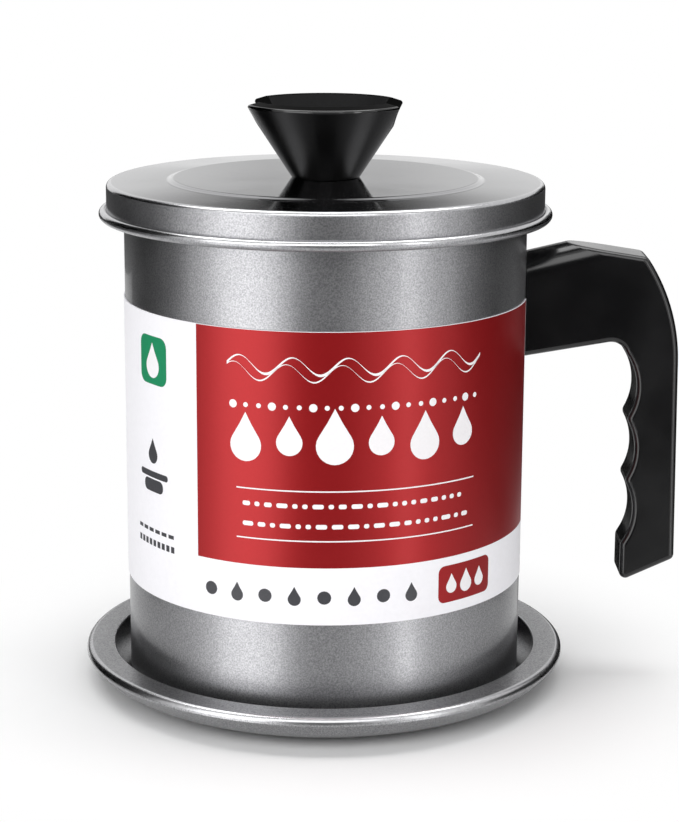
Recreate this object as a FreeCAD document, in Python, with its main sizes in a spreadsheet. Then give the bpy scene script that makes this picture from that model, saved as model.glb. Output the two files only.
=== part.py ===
import FreeCAD, Part
import math
import os
from types import SimpleNamespace

import Sketcher
from FreeCAD import Vector

# Bacon grease container: a coated steel pot with a side handle and a printed wrap. It stands in a drip
# tray, and a lift-out strainer hangs on its rim under a lift-off lid with a moulded knob.
# Millimetres, +Z up. The origin is on the pot's axis, in the plane that the tray stands on. The handle
# points along +X.

DIMENSIONS = [
    ("seat_gap", 0.3, "gap between pieces that lift off one another"),
    ("fit_gap", 0.05, "radial gap of a piece fixed inside or around another"),
    ("cut_over", 2.0, "how far a cut runs past the surface that it starts from"),
    ("pot_radius", 63.3, "outside of the pot's wall"),
    ("pot_sheet", 0.8, "sheet of the pot"),
    ("pot_top", 159.7, "top of the pot's rolled rim"),
    ("pot_bead", 1.6, "radius of the pot's rolled rim"),
    ("pot_corner", 3.2, "inner bend at the pot's bottom"),
    ("pot_panel_inset", 13.3, "from the pot's wall in to the raised panel of its bottom"),
    ("panel_rise", 0.8, "height of the pot's raised panel and of the tray's pressed ring"),
    ("panel_slope", 2.0, "run of their sloping edges"),
    ("tray_foot_inset", 0.8, "from the pot's wall in to the edge of the tray's flat foot"),
    ("tray_ring_inset", 25.3, "from the pot's wall in to the tray's pressed ring"),
    ("tray_ring_width", 6.0, "width of that ring"),
    ("tray_mouth_gap", 5.0, "gap between the pot's wall and the tray's rim"),
    ("tray_rim_width", 9.2, "width of the tray's flat rim"),
    ("tray_edge_height", 2.4, "upright edge between the tray's wall and rim"),
    ("tray_height", 11.9, "top of the tray's rim"),
    ("tray_belly_inset", 4.3, "from the tray's outer edge in to where its wall turns upwards"),
    ("tray_belly_height", 4.6, "height of that turn"),
    ("tray_sheet", 1.0, "sheet of the tray"),
    ("tray_belly_bend", 12.0, "bend of the tray's wall"),
    ("tray_rim_bend", 0.9, "inner bend of the tray's rim"),
    ("label_bottom", 36.4, "lower edge of the wrap"),
    ("label_drop", 33.8, "from the pot's top down to the upper edge of the wrap"),
    ("label_card", 0.3, "thickness of the wrap"),
    ("label_gap", 9.5, "half angle left open at the handle, degrees"),
    ("cup_lip_gap", 0.4, "gap between the pot's rim and the strainer's hanging lip"),
    ("cup_lip_drop", 4.0, "height of the strainer's hanging lip"),
    ("cup_sheet", 0.6, "sheet of the strainer"),
    ("cup_bend", 0.4, "inner bends of the strainer's flange"),
    ("cup_wall_gap", 0.9, "gap between the pot's wall and the strainer's wall"),
    ("cup_depth", 22.6, "depth of the strainer's wall"),
    ("floor_rim", 0.8, "width of the strainer floor's flat edge inside the wall"),
    ("floor_drop", 5.0, "drop of the sloping floor"),
    ("floor_run", 15.0, "from the wall in to the ledge under the mesh"),
    ("ledge_width", 6.0, "width of that ledge"),
    ("mesh_thickness", 0.6, "woven mesh, two wires thick"),
    ("mesh_pitch", 6.5, "spacing of the mesh's windows"),
    ("mesh_bar", 1.3, "width of a bar between two windows"),
    ("mesh_margin", 0.7, "gap between mesh and ledge corner"),
    ("ring_width", 4.2, "width of the ring on the mesh"),
    ("ring_thickness", 1.0, "thickness of that ring"),
    ("lid_gap", 1.2, "gap between the strainer's lip and the lid's skirt"),
    ("lid_sheet", 0.8, "sheet of the lid"),
    ("lid_skirt", 9.8, "height from the bead's centre to the top corner"),
    ("lid_bead", 1.6, "radius of the lid's rolled edge"),
    ("lid_corner", 0.9, "inner bend of the lid's top corner"),
    ("lid_ring_width", 19.4, "from the lid's skirt in to the step of its raised disc"),
    ("lid_disc_rise", 0.7, "height of that step"),
    ("lid_step_run", 1.3, "run of that step"),
    ("lid_fall", 0.3, "fall of the lid's outer ring towards its corner"),
    ("knob_base_radius", 10.85, "foot of the knob"),
    ("knob_rim_radius", 25.6, "outer edge of the knob's rim"),
    ("knob_rim_width", 3.8, "width of the rim, seen from above"),
    ("knob_height", 24.2, "inner edge of the rim above the foot"),
    ("knob_rim_fall", 1.3, "fall of the rim towards its outer edge"),
    ("knob_bowl_run", 7.8, "run of the bowl's wall, from the rim in to the foot of the wall"),
    ("knob_bowl_depth", 11.8, "depth of that wall"),
    ("knob_floor_dish", 1.8, "dish of the bowl's floor"),
    ("knob_round", 0.7, "rounded edges of the knob's rim"),
    ("knob_turn", -5.0, "turn of the knob about its axis, degrees"),
    ("notch_radius", 10.2, "arc of the side notches"),
    ("notch_depth", 8.1, "depth of the side notches below the rim"),
    ("insert_radius", 3.6, "threaded insert in the knob"),
    ("insert_length", 8.0, "length of the insert"),
    ("knob_screw_radius", 2.5, "M5 screw"),
    ("knob_screw_head", 4.6, "radius of its head"),
    ("knob_screw_head_height", 3.0, "height of its head"),
    ("knob_screw_reach", 6.5, "length of the screw inside the insert"),
    ("knob_washer_radius", 6.5, "washer under the lid"),
    ("knob_washer_thickness", 1.0, "its thickness"),
    ("grip_width", 16.0, "width of the handle"),
    ("grip_bevel", 1.8, "rounded edges of the handle"),
    ("root_gap", 0.15, "gap between the handle's root and the pot"),
    ("root_bottom_drop", 53.1, "from the pot's top down to the underside of the handle's root"),
    ("root_top_drop", 20.3, "and to the top of the root at the pot"),
    ("crown_reach", 32.1, "from the pot to the back of the root's rounded top, before the thumb rest is cut"),
    ("crown_drop", 12.7, "and from the pot's top down to it"),
    ("crown_round", 7.0, "rounded top edges of the root"),
    ("thumb_start_reach", 13.2, "from the pot to the front end of the flat thumb rest"),
    ("thumb_start_drop", 17.2, "and from the pot's top down to it"),
    ("thumb_end_reach", 37.5, "from the pot to the back end of the thumb rest"),
    ("thumb_end_drop", 21.0, "and from the pot's top down to it"),
    ("thumb_over", 20.0, "how far the cut of the thumb rest runs past its ends"),
    ("thumb_round", 3.0, "rounding behind the thumb rest"),
    ("grip_reach", 49.5, "from the pot to the back of the handle"),
    ("shoulder_inset", 1.3, "from the handle's back in to where it turns down"),
    ("shoulder_drop", 36.7, "and from the pot's top down to that turn"),
    ("shoulder_round", 60.0, "rounding of that turn"),
    ("heel_drop", 119.3, "from the pot's top down to the lower end of the handle's back"),
    ("toe_drop", 127.3, "and to the lower end of its front"),
    ("heel_round", 2.0, "rounded lower corners of the handle"),
    ("finger_room", 32.1, "from the pot to the front of the handle"),
    ("crook_drop", 47.3, "from the pot's top down to the inner corner between root and grip"),
    ("crook_round", 5.0, "rounding of that corner"),
    ("scallop_radius", 19.0, "arc of a finger scallop"),
    ("scallop_depth", 3.5, "depth of a scallop"),
    ("scallop_low_gap", 24.0, "from the toe up to the middle of the lowest scallop"),
    ("scallop_high_gap", 15.8, "from the crook down to the middle of the highest one"),
    ("cusp_round", 2.5, "rounded crests between the scallops"),
    ("scallop_over", 1.0, "how far a scallop's cut starts in front of the grip"),
    ("scallop_run_out", 3.0, "rounding where the scallops run out"),
    ("bracket_sheet", 1.6, "plate of the handle's bracket"),
    ("saddle_margin", 4.8, "from the edges of the root in to those of the plate on the pot"),
    ("saddle_angle", 10.0, "angle that the plate covers, degrees"),
    ("saddle_room", 1.0, "how much wider the handle's recess is than the plate, degrees"),
    ("socket_gap", 0.4, "gap round plate, tongue and nut in the handle"),
    ("tongue_rise", 10.5, "from the plate's lower edge up to the tongue"),
    ("tongue_width", 10.0, "width of the tongue"),
    ("tongue_reach", 24.7, "from the pot to the end of the tongue"),
    ("nut_width", 7.0, "square weld nut"),
    ("nut_height", 3.2, "its height"),
    ("nut_headroom", 1.6, "free height above the nut, for the screw's tip"),
    ("screw_proud", 1.0, "how far the handle's screw stands out of the nut"),
    ("screw_reach", 13.7, "from the pot to the axis of the handle's screw"),
    ("grip_screw_radius", 2.0, "M4 screw"),
    ("grip_screw_head", 3.5, "radius of its head"),
    ("grip_screw_head_height", 2.4, "height of its head"),
    ("grip_washer_radius", 4.3, "washer under that head"),
    ("grip_washer_thickness", 0.8, "its thickness"),
    ("screw_recess_depth", 6.9, "from the underside of the root up to the bottom of the screw's recess"),
    ("slot_width", 1.0, "width of the screws' cross recess"),
    ("slot_depth", 1.2, "its depth"),
    ("slot_share", 0.55, "half its length as a share of the head's radius"),
    ("chamfer_share", 0.33, "chamfers of a screw's head and tip as a share of head height and shank radius"),
]

SCALLOPS = 3


class Size:
    """A length together with the sheet expression that gives it."""

    def __init__(self, value, text):
        self.value = float(value)
        self.text = text

    def _join(self, sign, other, value):
        return Size(value, "(%s %s %s)" % (self.text, sign, other.text))

    def __add__(self, other):
        other = as_size(other)
        return self._join("+", other, self.value + other.value)

    def __sub__(self, other):
        other = as_size(other)
        return self._join("-", other, self.value - other.value)

    def __mul__(self, other):
        other = as_size(other)
        return self._join("*", other, self.value * other.value)

    def __truediv__(self, other):
        other = as_size(other)
        return self._join("/", other, self.value / other.value)

    def __neg__(self):
        return as_size(0) - self


def as_size(number):
    if isinstance(number, Size):
        return number
    return Size(number, repr(float(number)))


def make_sheet(doc):
    """Put the driving dimensions in the sheet and return them as sizes."""
    sheet = doc.addObject("Spreadsheet::Sheet", "Sizes")
    sizes = {}
    for row, (name, value, note) in enumerate(DIMENSIONS, start=1):
        sheet.set("A%d" % row, name)
        sheet.set("B%d" % row, str(value))
        sheet.set("C%d" % row, note)
        sheet.setAlias("B%d" % row, name)
        sizes[name] = Size(value, "Sizes." + name)
    doc.recompute()
    return SimpleNamespace(**sizes)


def add_places(s):
    """Add the radii and heights that follow from the sheet's sizes and the gaps between pieces."""
    s.tray_foot_radius = s.pot_radius - s.tray_foot_inset
    s.tray_ring_outer = s.pot_radius - s.tray_ring_inset
    s.tray_ring_inner = s.tray_ring_outer - s.tray_ring_width
    s.tray_mouth_radius = s.pot_radius + s.tray_mouth_gap
    s.tray_rim_radius = s.tray_mouth_radius + s.tray_rim_width
    s.tray_belly_radius = s.tray_rim_radius - s.tray_belly_inset
    s.label_top = s.pot_top - s.label_drop
    s.flange_top = s.pot_top + s.seat_gap + s.cup_sheet
    s.lip_radius = s.pot_radius - s.pot_sheet + s.pot_bead * 2 + s.cup_lip_gap + s.cup_sheet
    s.cup_inside = s.pot_radius - s.pot_sheet - s.cup_wall_gap - s.cup_sheet
    s.floor_top = s.flange_top - s.cup_depth
    s.ledge_top = s.floor_top - s.floor_drop
    s.ledge_radius = s.cup_inside - s.floor_run
    s.mesh_radius = s.ledge_radius - s.mesh_margin
    s.lid_radius = s.lip_radius + s.lid_gap + s.lid_sheet
    s.lid_corner_z = s.flange_top + s.seat_gap + s.lid_sheet
    s.lid_step_radius = s.lid_radius - s.lid_ring_width
    s.lid_top = s.lid_corner_z + s.lid_fall + s.lid_disc_rise
    s.knob_screw_seat = s.lid_top - s.lid_sheet - s.knob_washer_thickness
    s.root_bottom = s.pot_top - s.root_bottom_drop
    s.root_top = s.pot_top - s.root_top_drop
    s.crown_x = s.pot_radius + s.crown_reach
    s.crown_z = s.pot_top - s.crown_drop
    s.thumb_start_x = s.pot_radius + s.thumb_start_reach
    s.thumb_start_z = s.pot_top - s.thumb_start_drop
    s.thumb_end_x = s.pot_radius + s.thumb_end_reach
    s.thumb_end_z = s.pot_top - s.thumb_end_drop
    s.grip_back = s.pot_radius + s.grip_reach
    s.shoulder_x = s.grip_back - s.shoulder_inset
    s.shoulder_z = s.pot_top - s.shoulder_drop
    s.heel_z = s.pot_top - s.heel_drop
    s.toe_z = s.pot_top - s.toe_drop
    s.grip_front = s.pot_radius + s.finger_room
    s.crook_z = s.pot_top - s.crook_drop
    s.scallop_axis = s.grip_front + s.scallop_depth - s.scallop_radius
    s.scallop_low_z = s.toe_z + s.scallop_low_gap
    s.scallop_pitch = (s.crook_z - s.scallop_high_gap - s.scallop_low_z) / (SCALLOPS - 1)
    s.saddle_bottom = s.root_bottom + s.saddle_margin
    s.saddle_top = s.root_top - s.saddle_margin
    s.tongue_z = s.saddle_bottom + s.tongue_rise
    s.tongue_end = s.pot_radius + s.tongue_reach
    s.nut_top = s.tongue_z + s.bracket_sheet + s.nut_height
    s.grip_screw_x = s.pot_radius + s.screw_reach
    s.recess_top = s.root_bottom + s.screw_recess_depth
    s.grip_screw_seat = s.recess_top - s.grip_washer_thickness


# ---------------------------------------------------------------- sketches and features

def new_body(doc, label):
    body = doc.addObject("PartDesign::Body", label)
    body.Label = label
    return body


def new_sketch(body, role, name):
    """A sketch on one of the body's own origin planes."""
    planes = [item for item in body.Origin.OriginFeatures if item.Role == role]
    sketch = body.newObject("Sketcher::SketchObject", name)
    sketch.AttachmentSupport = (planes[0], [""])
    sketch.MapMode = "FlatFace"
    return sketch


def bound(sketch, constraint, size):
    index = sketch.addConstraint(constraint)
    sketch.setExpression("Constraints[%d]" % index, size.text)


def pin(sketch, line, end, across, up):
    """Hold the end of a line at its distances from the sketch's origin."""
    bound(sketch, Sketcher.Constraint("DistanceX", line, end, across.value), across)
    bound(sketch, Sketcher.Constraint("DistanceY", line, end, up.value), up)


def draw_outline(body, role, name, corners):
    """A closed outline of straight lines with every corner pinned."""
    sketch = new_sketch(body, role, name)
    corners = [(as_size(across), as_size(up)) for across, up in corners]
    points = [Vector(across.value, up.value, 0) for across, up in corners]
    count = len(points)
    for index in range(count):
        sketch.addGeometry(Part.LineSegment(points[index], points[(index + 1) % count]))
    for index in range(count):
        sketch.addConstraint(Sketcher.Constraint("Coincident", index, 2, (index + 1) % count, 1))
    for index, (across, up) in enumerate(corners):
        pin(sketch, index, 1, across, up)
    return sketch


def draw_box(body, role, name, left, right, low, high):
    return draw_outline(body, role, name, [(left, low), (right, low), (right, high), (left, high)])


def draw_circles(body, role, name, circles):
    """Circles given as (across, up, radius)."""
    sketch = new_sketch(body, role, name)
    for index, circle in enumerate(circles):
        across, up, radius = [as_size(part) for part in circle]
        centre = Vector(across.value, up.value, 0)
        sketch.addGeometry(Part.Circle(centre, Vector(0, 0, 1), radius.value))
        pin(sketch, index, 3, across, up)
        bound(sketch, Sketcher.Constraint("Radius", index, radius.value), radius)
    return sketch


def offset_points(points, distance):
    """Corners of the line that runs beside an open line, on its left."""
    normals = []
    for start, end in zip(points, points[1:]):
        along = (end - start).normalize()
        normals.append(Vector(-along.y, along.x, 0))
    beside = [points[0] + normals[0] * distance]
    for index in range(1, len(points) - 1):
        middle = normals[index - 1] + normals[index]
        stretch = 2 * distance / middle.Length ** 2
        beside.append(points[index] + middle * stretch)
    beside.append(points[-1] + normals[-1] * distance)
    return beside


def draw_sheet(body, name, corners, thickness):
    """The section of a sheet: a pinned line, and a parallel one on its left at the sheet's thickness."""
    sketch = new_sketch(body, "XZ_Plane", name)
    corners = [(as_size(across), as_size(up)) for across, up in corners]
    near = [Vector(across.value, up.value, 0) for across, up in corners]
    far = offset_points(near, thickness.value)
    runs = len(near) - 1
    loop = near + far[::-1]
    count = len(loop)
    for index in range(count):
        sketch.addGeometry(Part.LineSegment(loop[index], loop[(index + 1) % count]))
    for index in range(count):
        sketch.addConstraint(Sketcher.Constraint("Coincident", index, 2, (index + 1) % count, 1))
    for index, (across, up) in enumerate(corners):
        pin(sketch, index, 1, across, up)
    for run in range(runs):
        opposite = count - 2 - run
        sketch.addConstraint(Sketcher.Constraint("Parallel", run, opposite))
        distance = Sketcher.Constraint("Distance", opposite, 1, run, thickness.value)
        bound(sketch, distance, thickness)
    sketch.addConstraint(Sketcher.Constraint("Perpendicular", runs, runs - 1))
    sketch.addConstraint(Sketcher.Constraint("Perpendicular", count - 1, 0))
    return sketch


def turn(body, sketch, name, kind="PartDesign::Revolution", angle=None):
    """Turn a sketch about the body's Z axis, all round or by an angle centred on the sketch."""
    feature = body.newObject(kind, name)
    feature.Profile = sketch
    feature.ReferenceAxis = (sketch, ["V_Axis"])
    if angle is None:
        feature.Angle = 360
    else:
        feature.Midplane = True
        feature.setExpression("Angle", as_size(angle).text)
    return feature


def pad(body, sketch, name, length):
    """Pad a sketch by a length that is centred on its plane."""
    feature = body.newObject("PartDesign::Pad", name)
    feature.Profile = sketch
    feature.SideType = "Symmetric"
    feature.setExpression("Length", as_size(length).text)
    return feature


def pocket(body, sketch, name, length):
    """Cut a sketch out by a length that is centred on its plane."""
    feature = body.newObject("PartDesign::Pocket", name)
    feature.Profile = sketch
    feature.SideType = "Symmetric"
    feature.setExpression("Length", as_size(length).text)
    return feature


def bore(body, name, across, low, radius, height):
    """Cut an upright cylinder out of the body."""
    tool = body.newObject("PartDesign::SubtractiveCylinder", name)
    tool.setExpression("Radius", as_size(radius).text)
    tool.setExpression("Height", as_size(height).text)
    tool.setExpression("Placement.Base.x", as_size(across).text)
    tool.setExpression("Placement.Base.z", as_size(low).text)
    return tool


def rings_at(shape, radius, height):
    """Names of the round edges about the Z axis with this radius at this height."""
    names = []
    for number, edge in enumerate(shape.Edges, start=1):
        if not isinstance(edge.Curve, Part.Circle):
            continue
        if abs(edge.Curve.Radius - radius) < 1e-3 and abs(edge.Curve.Center.z - height) < 1e-3:
            names.append("Edge%d" % number)
    return names


def cross_edges_at(shape, across, height):
    """Names of the straight edges along Y that pass this point of the XZ plane."""
    names = []
    for number, edge in enumerate(shape.Edges, start=1):
        ends = [vertex.Point for vertex in edge.Vertexes]
        if len(ends) == 2 and all(abs(end.x - across) < 1e-3 and abs(end.z - height) < 1e-3 for end in ends):
            names.append("Edge%d" % number)
    return names


def nearest_cross_edge(shape, across, height):
    """Name of the straight edge along Y that lies nearest this point of the XZ plane."""
    best = None
    for number, edge in enumerate(shape.Edges, start=1):
        box = edge.BoundBox
        if box.XLength > 1e-3 or box.ZLength > 1e-3:
            continue
        distance = math.hypot(box.Center.x - across, box.Center.z - height)
        if best is None or distance < best[0]:
            best = (distance, "Edge%d" % number)
    return best[1]


def fillet(doc, body, base, name, edges, radius):
    """Round the named edges of the last feature."""
    if not edges:
        raise ValueError("no edge for " + name)
    feature = body.newObject("PartDesign::Fillet", name)
    feature.Base = (base, edges)
    feature.setExpression("Radius", as_size(radius).text)
    doc.recompute()
    return feature


def bend(doc, body, base, sketch, corner, name, inner, thickness):
    """Round both edges that a corner of a sheet's section leaves, the outer one by the sheet more."""
    count = len(sketch.Geometry)
    near = sketch.Geometry[corner].StartPoint
    far = sketch.Geometry[count - 1 - corner].StartPoint
    before = sketch.Geometry[corner - 1]
    after = sketch.Geometry[corner]
    along = before.EndPoint - before.StartPoint
    ahead = after.EndPoint - after.StartPoint
    near_is_outer = along.x * ahead.y - along.y * ahead.x > 0
    outer_point, inner_point = (near, far) if near_is_outer else (far, near)
    outer = as_size(inner) + thickness
    base = fillet(doc, body, base, name + "_outer", rings_at(base.Shape, outer_point.x, outer_point.y), outer)
    return fillet(doc, body, base, name + "_inner", rings_at(base.Shape, inner_point.x, inner_point.y), inner)


# ---------------------------------------------------------------- the pieces

def make_drip_tray(doc, s):
    """Pressed tray: flat foot with a stiffening ring, bellied wall, flat rim turned in to the pot."""
    body = new_body(doc, "drip_tray")
    section = draw_sheet(body, "tray_section", [
        (0, 0),
        (s.tray_ring_inner - s.panel_slope, 0),
        (s.tray_ring_inner, s.panel_rise),
        (s.tray_ring_outer, s.panel_rise),
        (s.tray_ring_outer + s.panel_slope, 0),
        (s.tray_foot_radius, 0),
        (s.tray_belly_radius, s.tray_belly_height),
        (s.tray_rim_radius, s.tray_height - s.tray_edge_height),
        (s.tray_rim_radius, s.tray_height),
        (s.tray_mouth_radius, s.tray_height),
    ], s.tray_sheet)
    last = turn(body, section, "tray_pressing")
    doc.recompute()
    last = bend(doc, body, last, section, 5, "foot_bend", s.tray_belly_bend, s.tray_sheet)
    last = bend(doc, body, last, section, 6, "belly_bend", s.tray_belly_bend, s.tray_sheet)
    bend(doc, body, last, section, 8, "rim_bend", s.tray_rim_bend, s.tray_sheet)
    return body


def make_pot_body(doc, s):
    """Drawn pot: a raised panel in its bottom, a straight wall and a rim rolled outwards."""
    body = new_body(doc, "pot_body")
    bottom = s.tray_sheet + s.seat_gap
    panel_radius = s.pot_radius - s.pot_panel_inset
    bead_height = s.pot_top - s.pot_bead
    section = draw_sheet(body, "pot_section", [
        (0, bottom + s.panel_rise),
        (panel_radius, bottom + s.panel_rise),
        (panel_radius + s.panel_slope, bottom),
        (s.pot_radius, bottom),
        (s.pot_radius, bead_height),
    ], s.pot_sheet)
    last = turn(body, section, "pot_drawing")
    doc.recompute()
    bend(doc, body, last, section, 3, "bottom_bend", s.pot_corner, s.pot_sheet)
    bead_axis = s.pot_radius - s.pot_sheet + s.pot_bead
    bead = draw_circles(body, "XZ_Plane", "rim_section", [(bead_axis, bead_height, s.pot_bead)])
    turn(body, bead, "rolled_rim")
    return body


def make_label_sleeve(doc, s):
    """Printed card wrapped round the pot, open where the handle is."""
    body = new_body(doc, "label_sleeve")
    inner = s.pot_radius + s.fit_gap
    section = draw_box(body, "XZ_Plane", "card_section", -(inner + s.label_card), -inner,
                       s.label_bottom, s.label_top)
    turn(body, section, "wrap", angle=as_size(360) - s.label_gap * 2)
    return body


def make_strainer_cup(doc, s):
    """Drawn wall that hangs on the pot's rim by its flange and lip."""
    body = new_body(doc, "strainer_cup")
    section = draw_sheet(body, "cup_section", [
        (s.lip_radius, s.flange_top - s.cup_lip_drop),
        (s.lip_radius, s.flange_top),
        (s.cup_inside, s.flange_top),
        (s.cup_inside, s.floor_top),
    ], s.cup_sheet)
    last = turn(body, section, "cup_drawing")
    doc.recompute()
    last = bend(doc, body, last, section, 1, "lip_bend", s.cup_bend, s.cup_sheet)
    bend(doc, body, last, section, 2, "mouth_bend", s.cup_bend, s.cup_sheet)
    return body


def make_strainer_floor(doc, s):
    """Funnel-shaped floor welded under the cup's wall, with a ledge for the mesh."""
    body = new_body(doc, "strainer_floor")
    section = draw_sheet(body, "floor_section", [
        (s.cup_inside + s.cup_sheet, s.floor_top),
        (s.cup_inside - s.floor_rim, s.floor_top),
        (s.ledge_radius, s.ledge_top),
        (s.ledge_radius - s.ledge_width, s.ledge_top),
    ], s.cup_sheet)
    turn(body, section, "floor_drawing")
    return body


def make_strainer_mesh(doc, s):
    """Square mesh disc on the ledge: windows in rows, each whole inside the clamped margin."""
    body = new_body(doc, "strainer_mesh")
    sketch = draw_circles(body, "XY_Plane", "mesh_disc", [(0, 0, s.mesh_radius)])
    half = (s.mesh_pitch.value - s.mesh_bar.value) / 2
    open_radius = s.mesh_radius.value - s.ring_width.value
    reach = int(open_radius // s.mesh_pitch.value)
    for column in range(-reach, reach + 1):
        for row in range(-reach, reach + 1):
            middle = Vector(column, row, 0) * s.mesh_pitch.value
            far_corner = Vector(abs(middle.x) + half, abs(middle.y) + half, 0)
            if far_corner.Length < open_radius:
                add_window(sketch, middle, half)
    sketch.AttachmentOffset = FreeCAD.Placement(Vector(0, 0, s.ledge_top.value), FreeCAD.Rotation())
    sketch.setExpression("AttachmentOffset.Base.z", (s.ledge_top + s.mesh_thickness / 2).text)
    pad(body, sketch, "mesh", s.mesh_thickness)
    return body


def add_window(sketch, middle, half):
    """One square window of the mesh."""
    turns = [(-1, -1), (1, -1), (1, 1), (-1, 1)]
    points = [middle + Vector(across * half, up * half, 0) for across, up in turns]
    for start, end in zip(points, points[1:] + points[:1]):
        sketch.addGeometry(Part.LineSegment(start, end))


def make_strainer_ring(doc, s):
    """Flat ring pressed on the edge of the mesh."""
    body = new_body(doc, "strainer_ring")
    mesh_top = s.ledge_top + s.mesh_thickness
    section = draw_box(body, "XZ_Plane", "ring_section", s.mesh_radius - s.ring_width, s.mesh_radius,
                       mesh_top, mesh_top + s.ring_thickness)
    turn(body, section, "ring")
    return body


def make_lid_shell(doc, s):
    """Pressed lid: raised disc, outer ring, straight skirt and an edge rolled outwards."""
    body = new_body(doc, "lid_shell")
    bead_height = s.lid_corner_z - s.lid_skirt
    section = draw_sheet(body, "lid_section", [
        (s.lid_radius, bead_height),
        (s.lid_radius, s.lid_corner_z),
        (s.lid_step_radius, s.lid_corner_z + s.lid_fall),
        (s.lid_step_radius - s.lid_step_run, s.lid_top),
        (s.knob_screw_radius + s.fit_gap, s.lid_top),
    ], s.lid_sheet)
    last = turn(body, section, "lid_pressing")
    doc.recompute()
    bend(doc, body, last, section, 1, "corner_bend", s.lid_corner, s.lid_sheet)
    bead_axis = s.lid_radius - s.lid_sheet + s.lid_bead
    bead = draw_circles(body, "XZ_Plane", "bead_section", [(bead_axis, bead_height, s.lid_bead)])
    turn(body, bead, "rolled_edge")
    return body


def make_lid_knob(doc, s):
    """Moulded knob: a hollow cone whose rim is notched on two sides for the fingers."""
    body = new_body(doc, "lid_knob")
    foot = s.lid_top
    top = foot + s.knob_height
    mouth_radius = s.knob_rim_radius - s.knob_rim_width
    bowl_foot = top - s.knob_bowl_depth
    section = draw_outline(body, "XZ_Plane", "knob_section", [
        (s.insert_radius + s.fit_gap, foot),
        (s.knob_base_radius, foot),
        (s.knob_rim_radius, top - s.knob_rim_fall),
        (mouth_radius, top),
        (mouth_radius - s.knob_bowl_run, bowl_foot),
        (0, bowl_foot - s.knob_floor_dish),
        (0, foot + s.insert_length + s.fit_gap),
        (s.insert_radius + s.fit_gap, foot + s.insert_length + s.fit_gap),
    ])
    last = turn(body, section, "cone")
    doc.recompute()
    rim = rings_at(last.Shape, s.knob_rim_radius.value, (top - s.knob_rim_fall).value)
    mouth = rings_at(last.Shape, mouth_radius.value, top.value)
    last = fillet(doc, body, last, "rim_round", rim + mouth, s.knob_round)
    notch_axis = top - s.notch_depth + s.notch_radius
    arc = draw_circles(body, "YZ_Plane", "notch_arc", [(0, notch_axis, s.notch_radius)])
    pocket(body, arc, "side_notches", (s.knob_rim_radius + s.cut_over) * 2)
    body.Placement = FreeCAD.Placement(Vector(), FreeCAD.Rotation(Vector(0, 0, 1), s.knob_turn.value))
    return body


def make_knob_insert(doc, s):
    """Threaded brass insert moulded into the knob's foot."""
    body = new_body(doc, "knob_insert")
    section = draw_box(body, "XZ_Plane", "insert_section", s.knob_screw_radius + s.fit_gap,
                       s.insert_radius, s.lid_top, s.lid_top + s.insert_length)
    turn(body, section, "insert")
    return body


def make_screw(doc, s, label, sizes):
    """Pan-head screw about the Z axis, head down, with a cross recess."""
    body = new_body(doc, label)
    seat, head, head_height, shank, tip = sizes
    crown = head_height * s.chamfer_share
    point = shank * s.chamfer_share
    section = draw_outline(body, "XZ_Plane", label + "_section", [
        (0, seat - head_height),
        (head - crown, seat - head_height),
        (head, seat - head_height + crown),
        (head, seat),
        (shank, seat),
        (shank, tip - point),
        (shank - point, tip),
        (0, tip),
    ])
    turn(body, section, label + "_turning")
    long_side = head * s.slot_share
    short_side = s.slot_width / 2
    low = seat - head_height
    for name, across, deep in (("slot_x", long_side, short_side), ("slot_y", short_side, long_side)):
        slot = draw_box(body, "XZ_Plane", name, -across, across, low - s.cut_over, low + s.slot_depth)
        pocket(body, slot, "cut_" + name, deep * 2)
    return body


def make_washer(doc, label, hole, radius, low, thickness):
    """Flat washer about the Z axis."""
    body = new_body(doc, label)
    section = draw_box(body, "XZ_Plane", label + "_section", hole, radius, low, low + thickness)
    turn(body, section, label + "_turning")
    return body


def make_knob_screw(doc, s):
    tip = s.lid_top + s.knob_screw_reach
    sizes = (s.knob_screw_seat, s.knob_screw_head, s.knob_screw_head_height, s.knob_screw_radius, tip)
    return make_screw(doc, s, "knob_screw", sizes)


def make_knob_washer(doc, s):
    hole = s.knob_screw_radius + s.fit_gap
    return make_washer(doc, "knob_washer", hole, s.knob_washer_radius, s.knob_screw_seat,
                       s.knob_washer_thickness)


def make_handle_bracket(doc, s):
    """Curved plate spot-welded to the pot, with a flat tongue for the handle."""
    body = new_body(doc, "handle_bracket")
    inner = s.pot_radius + s.fit_gap
    plate = draw_box(body, "XZ_Plane", "plate_section", inner, inner + s.bracket_sheet,
                     s.saddle_bottom, s.saddle_top)
    turn(body, plate, "saddle_plate", angle=s.saddle_angle)
    tongue = draw_box(body, "XZ_Plane", "tongue_side", inner + s.bracket_sheet / 2, s.tongue_end,
                      s.tongue_z, s.tongue_z + s.bracket_sheet)
    pad(body, tongue, "tongue", s.tongue_width)
    bore(body, "screw_hole", s.grip_screw_x, s.tongue_z - s.cut_over, s.grip_screw_radius + s.fit_gap,
         s.bracket_sheet + s.cut_over * 2)
    return body


def make_handle_weld_nut(doc, s):
    """Square nut welded on the tongue."""
    body = new_body(doc, "handle_weld_nut")
    low = s.tongue_z + s.bracket_sheet
    half = s.nut_width / 2
    side = draw_box(body, "XZ_Plane", "nut_side", s.grip_screw_x - half, s.grip_screw_x + half,
                    low, low + s.nut_height)
    pad(body, side, "nut", s.nut_width)
    bore(body, "nut_thread", s.grip_screw_x, low - s.cut_over, s.grip_screw_radius + s.fit_gap,
         s.nut_height + s.cut_over * 2)
    return body


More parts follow.
